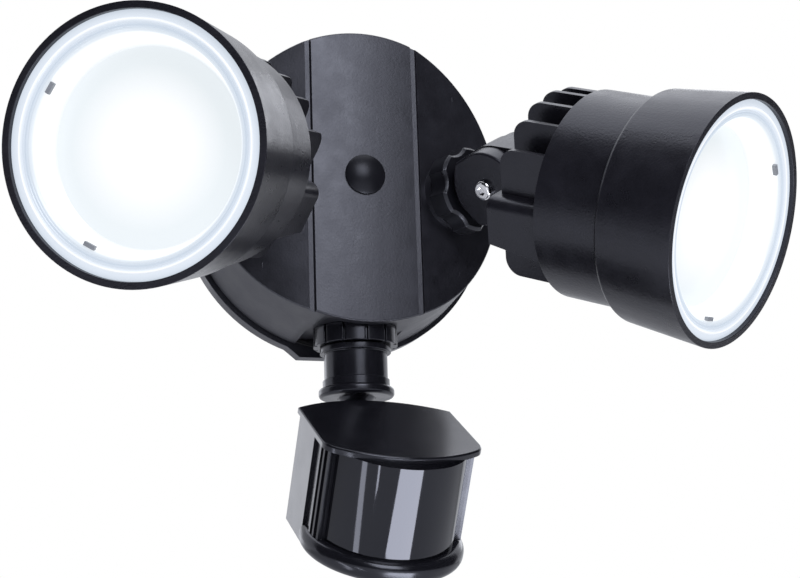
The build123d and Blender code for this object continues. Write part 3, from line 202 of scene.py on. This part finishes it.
def add_node(tree, kind, **settings):
    """A new node with its properties and its named inputs set."""
    made = tree.nodes.new(kind)
    for key, value in settings.items():
        if key in made.inputs:
            made.inputs[key].default_value = value
        else:
            setattr(made, key, value)
    return made


def fill_ramp(ramp, stops):
    """Positions and colours of a colour ramp."""
    elements = ramp.color_ramp.elements
    while len(elements) < len(stops):
        elements.new(0.5)
    for element, (position, color) in zip(elements, stops):
        element.position = position
        element.color = (*color, 1)


def drift(made, color, lighter, scale, rough_low, rough_high):
    """Slow changes of colour and roughness over the surface."""
    tree = made.node_tree
    shader = tree.nodes["Principled BSDF"]
    coords = add_node(tree, "ShaderNodeTexCoord")
    cloud = add_node(tree, "ShaderNodeTexNoise", Scale=scale, Detail=4.0, Roughness=0.6)
    tree.links.new(coords.outputs["Object"], cloud.inputs["Vector"])
    ramp = add_node(tree, "ShaderNodeValToRGB")
    fill_ramp(ramp, ((0.35, color), (0.70, [c * lighter for c in color])))
    tree.links.new(cloud.outputs["Fac"], ramp.inputs["Fac"])
    tree.links.new(ramp.outputs["Color"], shader.inputs["Base Color"])
    span = add_node(tree, "ShaderNodeMapRange")
    span.inputs["From Min"].default_value = 0.3
    span.inputs["From Max"].default_value = 0.7
    span.inputs["To Min"].default_value = rough_low
    span.inputs["To Max"].default_value = rough_high
    tree.links.new(cloud.outputs["Fac"], span.inputs["Value"])
    tree.links.new(span.outputs["Result"], shader.inputs["Roughness"])


def grain(made, scale, height, strength):
    """A fine pebbled texture as bump."""
    tree = made.node_tree
    shader = tree.nodes["Principled BSDF"]
    coords = add_node(tree, "ShaderNodeTexCoord")
    pebbles = add_node(tree, "ShaderNodeTexVoronoi", Scale=scale, feature="SMOOTH_F1")
    waves = add_node(tree, "ShaderNodeTexNoise", Scale=scale * 0.6, Detail=3.0)
    tree.links.new(coords.outputs["Object"], pebbles.inputs["Vector"])
    tree.links.new(coords.outputs["Object"], waves.inputs["Vector"])
    both = add_node(tree, "ShaderNodeMath", operation="ADD")
    tree.links.new(pebbles.outputs["Distance"], both.inputs[0])
    tree.links.new(waves.outputs["Fac"], both.inputs[1])
    bump = add_node(tree, "ShaderNodeBump", Strength=strength, Distance=height)
    tree.links.new(both.outputs["Value"], bump.inputs["Height"])
    tree.links.new(bump.outputs["Normal"], shader.inputs["Normal"])


def powder_coat(name, scale=1400.0, strength=0.35, rough=(0.36, 0.48), gloss=0.5):
    """Black powder coat with a fine pebbled skin."""
    made = material(name, BLACK_COAT, 0.4, Specular_Tint=(*COOL_GLOSS, 1),
                    Specular_IOR_Level=gloss)
    drift(made, BLACK_COAT, 1.5, 90.0, *rough)
    grain(made, scale, 0.00012, strength)
    return made


def moulded(name, color, rough=(0.26, 0.38), scale=1800.0, strength=0.10, lighter=1.3, **sockets):
    """Moulded plastic with a faint skin texture."""
    made = material(name, color, rough[0], **sockets)
    drift(made, color, lighter, 70.0, *rough)
    grain(made, scale, 0.00005, strength)
    return made


def metal(name, color, rough=(0.16, 0.30), scale=900.0):
    """Plated metal with small changes of polish."""
    made = material(name, color, rough[0], Metallic=1.0)
    drift(made, color, 0.85, 220.0, *rough)
    grain(made, scale, 0.00004, 0.10)
    return made


def dark_lens():
    """Glossy dark lens, a little uneven as moulded."""
    made = material("dark_lens", DARK_LENS, 0.05, Specular_Tint=(*COOL_GLOSS, 1))
    drift(made, DARK_LENS, 1.4, 40.0, 0.03, 0.08)
    grain(made, 60.0, 0.0004, 0.04)
    return made


COOL = {"Specular_Tint": (*COOL_GLOSS, 1)}
SLOT_FINISH = {
    "canopy_casting": powder_coat("canopy_coat", scale=1100.0, strength=0.20,
                                  rough=(0.36, 0.46), gloss=0.8),
    "arm_casting": powder_coat("arm_coat", scale=1300.0, strength=0.30, rough=(0.26, 0.34)),
    "head_casting": powder_coat("head_coat", scale=1300.0, strength=0.35, rough=(0.26, 0.34)),
    "locknut_metal": moulded("locknut_finish", BLACK_PLASTIC, **COOL),
    "seal_rubber": moulded("rubber", RUBBER, rough=(0.55, 0.75), strength=0.2),
    "chrome_fastener": metal("chrome", CHROME, rough=(0.08, 0.2)),
    "clip_plastic": moulded("clip_grey", CLIP_GREY),
    "reflector_white": moulded("reflector_white", WHITE_PLASTIC),
    "led_board": moulded("board_white", WHITE_PLASTIC),
    "led_chips": moulded("phosphor", PHOSPHOR),
    "steel_screws": metal("zinc_screws", ZINC),
    "strap_steel": metal("zinc_strap", ZINC, rough=(0.28, 0.45)),
    "plug_plastic": moulded("plug_plastic", BLACK_PLASTIC, rough=(0.30, 0.38),
                            Specular_IOR_Level=0.28, **COOL),
    "driver_plastic": moulded("driver_plastic", WHITE_PLASTIC),
    "terminal_plastic": moulded("terminal_plastic", CREAM_PLASTIC),
    "ground_screw": metal("green_screw", SCREW_GREEN),
    "neck_plastic": moulded("neck_plastic", BLACK_PLASTIC, rough=(0.18, 0.28), **COOL),
    "sensor_plastic": moulded("sensor_plastic", BLACK_PLASTIC, rough=(0.16, 0.24), **COOL),
    "dark_lens": dark_lens(),
    "circuit_board": moulded("board_green", BOARD_GREEN),
    "element_metal": metal("element_can", ZINC),
    "knob_plastic": moulded("knob_plastic", BLACK_PLASTIC),
    "lens_plastic": moulded("lens_clear", LENS_CLEAR),
}


def finish_nodes():
    """Every CAD node gets the finish of its slot."""
    for part in frame["record"]["subparts"]:
        data = NODES[part["node"]].data
        data.materials.clear()
        data.materials.append(SLOT_FINISH[part["material_slot"]])


def soften(name, width):
    """Small rounds along the sharp edges of a CAD node."""
    node = NODES[name]
    weld = node.modifiers.new("weld", "WELD")
    weld.merge_threshold = WELD_GAP
    flat = node.modifiers.new("flat", "DECIMATE")
    flat.decimate_type = "DISSOLVE"
    flat.angle_limit = math.radians(FLAT_DEGREES)
    bevel = node.modifiers.new("bevel", "BEVEL")
    bevel.width = width
    bevel.segments = ROUND_STEPS
    bevel.limit_method = "ANGLE"
    bevel.angle_limit = math.radians(ROUND_DEGREES)
    bevel.use_clamp_overlap = True
    bevel.harden_normals = False
    shade = node.modifiers.new("shade", "WEIGHTED_NORMAL")
    shade.mode = "FACE_AREA_WITH_ANGLE"
    shade.keep_sharp = False
    for polygon in node.data.polygons:
        polygon.use_smooth = True


# ================================================================ lamp lenses
def node_points(name):
    """The corners of a CAD node's mesh."""
    return np.array([v.co for v in NODES[name].data.vertices])


def lens_place(side):
    """Matrix of one lens: origin in the middle of its flange's front face, Z along the beam."""
    low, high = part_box(f"{side}_lens_gasket")
    middle = (low + high) / 2
    low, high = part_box(f"{side}_led_board")
    outward = (middle - (low + high) / 2).normalized()
    ring = node_points(f"{side}_lens_gasket")
    axis = Vector(np.linalg.svd(ring - ring.mean(0), full_matrices=False)[2][2]).normalized()
    if axis.dot(outward) < 0:
        axis = -axis
    glass = node_points(f"{side}_lens") - np.array(middle)
    height = glass @ np.array(axis)
    reach = np.linalg.norm(glass - np.outer(height, axis), axis=1)
    front = float(height[reach > LENS_MID_RADIUS * MM].max())
    across = Vector((0, 0, 1)).cross(axis).normalized()
    turn = Matrix((across, axis.cross(across), axis)).transposed().to_4x4()
    return Matrix.Translation(middle + front * axis) @ turn


def bead(start, end, rise):
    """The points between two profile points, raised by rise in the middle."""
    points = []
    for k in range(1, BEAD_STEPS):
        t = k / BEAD_STEPS
        points.append((start[0] + (end[0] - start[0]) * t,
                       start[1] + (end[1] - start[1]) * t + rise * math.sin(math.pi * t)))
    return points


def spin(name, profile, place, segments=LENS_SEGMENTS):
    """A solid of revolution from a closed profile of (radius, height) points, put in place."""
    form = bmesh.new()
    rings = []
    for radius, height in profile:
        if radius == 0:
            rings.append([form.verts.new((0, 0, height))])
            continue
        rings.append([form.verts.new((radius * math.cos(2 * math.pi * k / segments),
                                      radius * math.sin(2 * math.pi * k / segments), height))
                      for k in range(segments)])
    for one, two in zip(rings, rings[1:] + rings[:1]):
        if len(one) == 1 and len(two) == 1:
            continue
        for k in range(segments):
            n = (k + 1) % segments
            if len(one) == 1:
                form.faces.new((one[0], two[k], two[n]))
            elif len(two) == 1:
                form.faces.new((one[k], two[0], one[n]))
            else:
                form.faces.new((one[k], two[k], two[n], one[n]))
    bmesh.ops.recalc_face_normals(form, faces=form.faces)
    mesh = bpy.data.meshes.new(name)
    form.to_mesh(mesh)
    form.free()
    mesh.set_sharp_from_angle(angle=math.radians(SMOOTH_DEGREES))
    for polygon in mesh.polygons:
        polygon.use_smooth = True
    mesh.transform(place)
    piece = bpy.data.objects.new(name, mesh)
    bpy.context.scene.collection.objects.link(piece)
    return piece


def lens_profile():
    """Section of the stepped lens: flange, beads, side wall, crowned middle and thin back."""
    front = FLANGE_EDGE + [RIM_BEAD[0]] + bead(*RIM_BEAD, RIM_BEAD_RISE) + [RIM_BEAD[1]]
    for start, end in zip(FINE_BEADS, FINE_BEADS[1:]):
        front += [start] + bead(start, end, FINE_BEAD_RISE)
    front += [FINE_BEADS[-1], *WALL_TOP]
    front += [(BOWL_R + 0.9, -BOWL_DEPTH + 1.4), (BOWL_R + 0.5, -BOWL_DEPTH + 0.5),
              (BOWL_R - 0.2, -BOWL_DEPTH)]
    for k in range(1, CROWN_STEPS):
        r = (BOWL_R - 0.2) * (1 - k / CROWN_STEPS)
        front.append((r, -BOWL_DEPTH + BOWL_CROWN * (1 - (r / BOWL_R) ** 2)))
    front.append((0, -BOWL_DEPTH + BOWL_CROWN))
    back = [(0, -BOWL_DEPTH - LENS_SKIN), (BOWL_R + 0.6, -BOWL_DEPTH - LENS_SKIN),
            (BOWL_R + 2.2, -BOWL_DEPTH + 0.6), *WALL_BACK_TOP, (FLANGE_R, -LENS_BACK)]
    return [(r * MM, z * MM) for r, z in front + back]


def lit_lens_painted_light(side):
    """Frosted lens lit from behind, its glow coloured by radius: a white middle as a painted hot
    spot, a white wall and step edge as painted highlights, a dark groove as painted shade, and
    cooler near its rim.
    """
    made = material(f"{side}_lit_lens_painted_light", LENS_GREY, 0.25, Emission_Strength=LENS_GLOW)
    tree = made.node_tree
    shader = tree.nodes["Principled BSDF"]
    centre, axis = lens_place(side).translation, lens_place(side).col[2].xyz
    coords = add_node(tree, "ShaderNodeTexCoord")
    from_centre = add_node(tree, "ShaderNodeVectorMath", operation="SUBTRACT")
    from_centre.inputs[1].default_value = centre
    tree.links.new(coords.outputs["Object"], from_centre.inputs[0])
    off_axis = add_node(tree, "ShaderNodeVectorMath", operation="CROSS_PRODUCT")
    off_axis.inputs[1].default_value = axis
    tree.links.new(from_centre.outputs["Vector"], off_axis.inputs[0])
    radius = add_node(tree, "ShaderNodeVectorMath", operation="LENGTH")
    tree.links.new(off_axis.outputs["Vector"], radius.inputs[0])
    span = add_node(tree, "ShaderNodeMapRange")
    span.inputs["From Max"].default_value = GLOW_SPAN * MM
    tree.links.new(radius.outputs["Value"], span.inputs["Value"])
    ramp = add_node(tree, "ShaderNodeValToRGB")
    fill_ramp(ramp, [(radius_mm / GLOW_SPAN, shade) for radius_mm, shade in GLOW_AND_PAINTED_LIGHT])
    tree.links.new(span.outputs["Result"], ramp.inputs["Fac"])
    # Emission colour by radius: the lamp's glow, with a painted hot spot, painted highlight rings
    # and a painted shade ring
    tree.links.new(ramp.outputs["Color"], shader.inputs["Emission Color"])
    cells = add_node(tree, "ShaderNodeTexVoronoi", Scale=700.0)
    tree.links.new(coords.outputs["Object"], cells.inputs["Vector"])
    bump = add_node(tree, "ShaderNodeBump", Strength=0.15, Distance=0.0001)
    tree.links.new(cells.outputs["Distance"], bump.inputs["Height"])
    tree.links.new(bump.outputs["Normal"], shader.inputs["Normal"])
    return made


def build_lens(side):
    """The lamp's lens with its finer steps, in place of the plain one."""
    piece = spin(f"{side}_lens_stepped", lens_profile(), lens_place(side))
    piece.data.materials.append(lit_lens_painted_light(side))
    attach(piece, f"{side}_head")
    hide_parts(f"{side}_lens")


# ================================================================ stage and lights
def direction(azimuth, elevation):
    """Unit vector: azimuth 0 is straight out from the wall, positive to the viewer's right."""
    a, e = math.radians(azimuth), math.radians(elevation)
    return Vector((math.sin(a) * math.cos(e), -math.cos(a) * math.cos(e), math.sin(e)))


def add_lamp(name, target, azimuth, elevation, distance, width, height, radiance, gloss_only):
    """A soft rectangular lamp that faces a point, unseen by the camera."""
    data = bpy.data.lights.new(name, "AREA")
    data.shape = "RECTANGLE"
    data.size = width
    data.size_y = height
    data.energy = radiance * math.pi * width * height
    data.color = COOL_LIGHT
    lamp = bpy.data.objects.new(name, data)
    bpy.context.scene.collection.objects.link(lamp)
    away = direction(azimuth, elevation)
    lamp.location = target + distance * away
    lamp.rotation_mode = "QUATERNION"
    lamp.rotation_quaternion = (-away).to_track_quat("-Z", "Y")
    lamp.visible_camera = False
    if gloss_only:
        lamp.visible_diffuse = False


def build_room():
    """The dark side of the room, behind the camera, which glossy black shows."""
    mesh = bpy.data.meshes.new("room_side")
    across, tall = ROOM_GRID
    (left, right), (low, high) = ROOM_AZIMUTHS, ROOM_ELEVATIONS
    points, faces = [], []
    for j in range(tall + 1):
        for i in range(across + 1):
            points.append(ROOM_RADIUS * direction(left + (right - left) * i / across,
                                                  low + (high - low) * j / tall))
    for j in range(tall):
        for i in range(across):
            k = j * (across + 1) + i
            faces.append((k, k + 1, k + across + 2, k + across + 1))
    mesh.from_pydata(points, [], faces)
    mesh.materials.append(material("room_dark", ROOM_DARK, 0.9, Specular_IOR_Level=0.0))
    side = bpy.data.objects.new("room_side", mesh)
    bpy.context.scene.collection.objects.link(side)
    side.visible_camera = False
    side.visible_diffuse = False
    side.visible_shadow = False
    side.visible_transmission = False


def build_stage():
    """A pale floor below the light, and a white surround."""
    low = cad_box[0].z - FLOOR_DROP
    mesh = bpy.data.meshes.new("floor")
    half = FLOOR_SIZE / 2
    mesh.from_pydata([(-half, -half, low), (half, -half, low), (half, half, low),
                      (-half, half, low)], [], [(0, 1, 2, 3)])
    floor = bpy.data.objects.new("floor", mesh)
    bpy.context.scene.collection.objects.link(floor)
    mesh.materials.append(material("floor_pale", PALE, 0.9))

    world = bpy.context.scene.world or bpy.data.worlds.new("world")
    bpy.context.scene.world = world
    world.use_nodes = True
    tree = world.node_tree
    tree.nodes.clear()
    out = add_node(tree, "ShaderNodeOutputWorld")
    plain = add_node(tree, "ShaderNodeBackground", Strength=SURROUND_PLAIN)
    seen = add_node(tree, "ShaderNodeBackground", Strength=SURROUND_SEEN)
    path = add_node(tree, "ShaderNodeLightPath")
    tone = add_node(tree, "ShaderNodeMix", data_type="RGBA")
    tone.inputs["A"].default_value = (*COOL_LIGHT, 1)
    tone.inputs["B"].default_value = (1, 1, 1, 1)
    tree.links.new(path.outputs["Is Camera Ray"], tone.inputs["Factor"])
    for shade in (plain, seen):
        tree.links.new(tone.outputs["Result"], shade.inputs["Color"])
    either = add_node(tree, "ShaderNodeMath", operation="MAXIMUM")
    tree.links.new(path.outputs["Is Camera Ray"], either.inputs[0])
    tree.links.new(path.outputs["Is Glossy Ray"], either.inputs[1])
    any_of = add_node(tree, "ShaderNodeMath", operation="MAXIMUM")
    tree.links.new(either.outputs["Value"], any_of.inputs[0])
    tree.links.new(path.outputs["Is Transmission Ray"], any_of.inputs[1])
    mix = add_node(tree, "ShaderNodeMixShader")
    tree.links.new(any_of.outputs["Value"], mix.inputs["Fac"])
    tree.links.new(plain.outputs["Background"], mix.inputs[1])
    tree.links.new(seen.outputs["Background"], mix.inputs[2])
    tree.links.new(mix.outputs["Shader"], out.inputs["Surface"])


place_camera()
finish_nodes()
for node_name, width in EDGE_ROUNDS.items():
    soften(node_name, width)
for side in SIDES:
    build_lens(side)
build_stage()
build_room()
for lamp_name, settings in LAMPS.items():
    add_lamp(lamp_name, *settings)

bpy.context.scene.view_settings.view_transform = "Standard"
